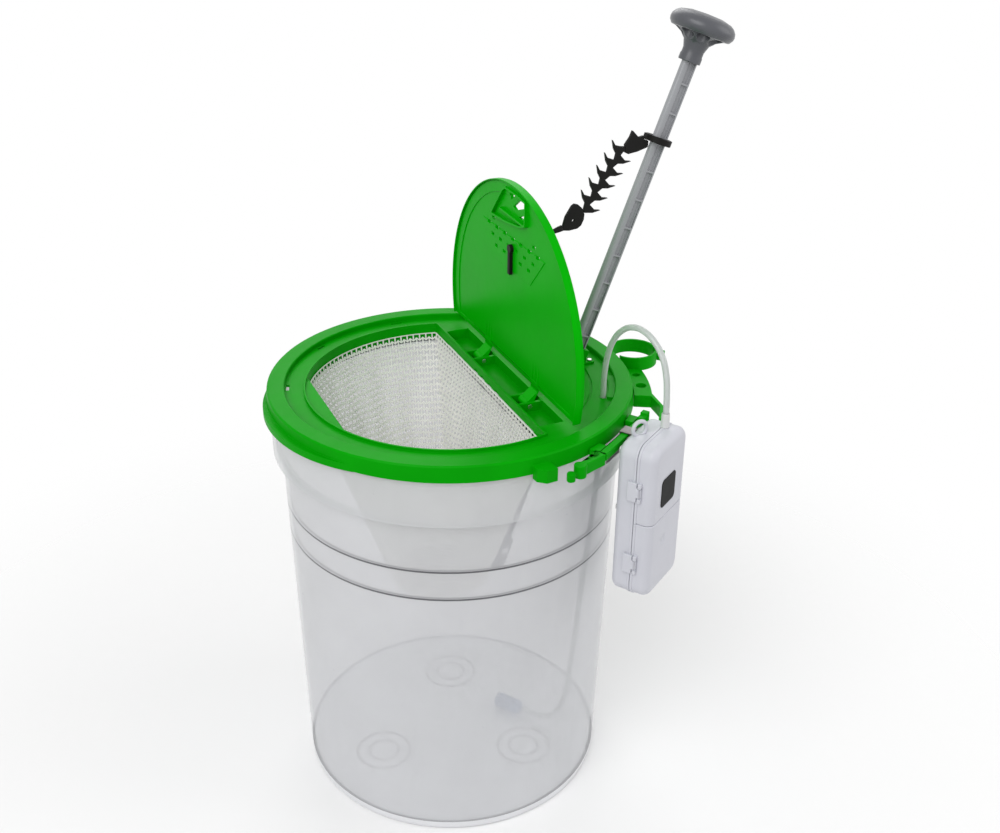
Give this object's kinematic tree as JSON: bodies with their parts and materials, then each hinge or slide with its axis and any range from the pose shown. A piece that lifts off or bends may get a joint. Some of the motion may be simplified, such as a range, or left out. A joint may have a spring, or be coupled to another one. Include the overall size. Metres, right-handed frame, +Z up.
{
  "type": "aerated bait bucket",
  "caption": "Round pail with a lift-out net, a flap door worked by a leaning lift rod and stretch strap, and a clip-on battery air pump with hose",
  "frame": {"origin": "middle of the bucket's underside, on the ground plane", "axes": "+Z up; +X from the middle towards the door's hinge and the lift rod; +Y completes the right hand"},
  "size_m": [0.4046, 0.3329, 0.6651],
  "materials": {
    "bucket": "milky translucent, moulded",
    "green": "moulded satin",
    "green_bright": "moulded satin",
    "net": "knotless mesh",
    "grey": "moulded satin",
    "steel": "plain",
    "rubber": "matt",
    "pump_white": "moulded satin",
    "silicone": "translucent",
    "hose": "clear, slightly milky",
    "stone": "porous",
    "brass": "turned",
    "cell": "wrapped",
    "dark": "matt",
    "label": "bare plate"
  },
  "bodies": {
    "bucket": {"bucket_shell": "bucket"},
    "lid": {"lid_ring": "green", "net_frame": "grey", "net_bag": "net", "rod_guide": "green", "guide_screws": "steel", "hinge_pins": "steel", "tool_holder": "green", "pump_hanger": "green", "pump_rear_shell": "pump_white", "pump_front_cover": "pump_white", "cover_pin": "steel", "pump_seal": "silicone", "belt_clip": "steel", "clip_screws": "steel", "case_screws": "steel", "lanyard_loop": "pump_white", "air_nozzle": "pump_white", "hose_sleeve": "silicone", "air_hose": "hose", "air_stone": "stone", "motor": "steel", "motor_mount": "grey", "diaphragm_arm": "pump_white", "diaphragm": "rubber", "air_chamber": "pump_white", "chamber_tube": "silicone", "battery_cells": "cell", "battery_contacts": "steel", "contact_springs": "steel", "switch_body": "dark", "label_plate": "label"},
    "door": {"door_panel": "green_bright", "strap_tail": "rubber"},
    "rod": {"lift_rod": "grey", "rod_knob": "grey", "net_foot": "grey", "foot_pin": "steel", "strap_collar": "rubber"},
    "strap_upper": {"strap_shoulder": "rubber"},
    "strap_lower": {"strap_zigzag": "rubber"},
    "strap_end": {"strap_paddle": "rubber", "strap_neck": "rubber"},
    "cover": {"battery_cover": "pump_white"},
    "latch_high": {"upper_latch": "pump_white"},
    "latch_low": {"lower_latch": "pump_white"},
    "button": {"switch_button": "grey"},
    "cam": {"eccentric": "brass"}
  },
  "joints": [
    {"name": "lid_lift", "type": "slide", "parent": "bucket", "child": "lid", "axis": [0, 0, 1], "range_m": [0, 0.4]},
    {"name": "rod_slide", "type": "slide", "parent": "lid", "child": "rod", "axis": [0.3567, 0, 0.9342], "range_m": [-0.18, 0], "deforming": ["net_bag"]},
    {"name": "door_hinge", "type": "hinge", "parent": "lid", "child": "door", "pos_m": [0.047, 0, 0.3675], "axis": [0, 1, 0], "range_deg": [-90, 0]},
    {"name": "strap_swing", "type": "hinge", "parent": "rod", "child": "strap_upper", "pos_m": [0.17595, 0, 0.56053], "axis": [0, 1, 0], "range_deg": [0, 46.26], "deforming": ["strap_shoulder"]},
    {"name": "strap_stretch", "type": "slide", "parent": "strap_upper", "child": "strap_lower", "axis": [-0.7345, 0, -0.6786], "range_m": [0, 0.0454], "deforming": ["strap_zigzag"]},
    {"name": "strap_bend", "type": "hinge", "parent": "strap_lower", "child": "strap_end", "pos_m": [0.1192, 0, 0.5081], "axis": [0, 1, 0], "range_deg": [-41.61, 0], "deforming": ["strap_paddle", "strap_neck"]},
    {"name": "cover_swing", "type": "hinge", "parent": "lid", "child": "cover", "pos_m": [0.13917, -0.13023, 0.273], "axis": [0, 0, 1], "range_deg": [0, 100]},
    {"name": "upper_latch_swing", "type": "hinge", "parent": "lid", "child": "latch_high", "pos_m": [0.08879, -0.17039, 0.337], "axis": [0, 0, 1], "range_deg": [0, 60]},
    {"name": "lower_latch_swing", "type": "hinge", "parent": "cover", "child": "latch_low", "pos_m": [0.08879, -0.17039, 0.271], "axis": [0, 0, 1], "range_deg": [0, 60]},
    {"name": "button_press", "type": "slide", "parent": "lid", "child": "button", "axis": [-0.8192, -0.5736, 0], "range_m": [0, 0.0015], "stiffness_N_per_m": 600, "springref_m": -0.0005},
    {"name": "motor_spin", "type": "hinge", "parent": "lid", "child": "cam", "pos_m": [0.11414, -0.14592, 0.325], "axis": [0.8192, 0.5736, 0], "continuous": true}
  ],
  "couplings": [
    {"joint": "door_hinge", "follows": "rod_slide", "rad_per_m": 8.7266},
    {"joint": "strap_swing", "follows": "rod_slide", "rad_per_m": -4.4805},
    {"joint": "strap_stretch", "follows": "rod_slide", "ratio": -0.25179},
    {"joint": "strap_bend", "follows": "rod_slide", "rad_per_m": 4.0298}
  ]
}
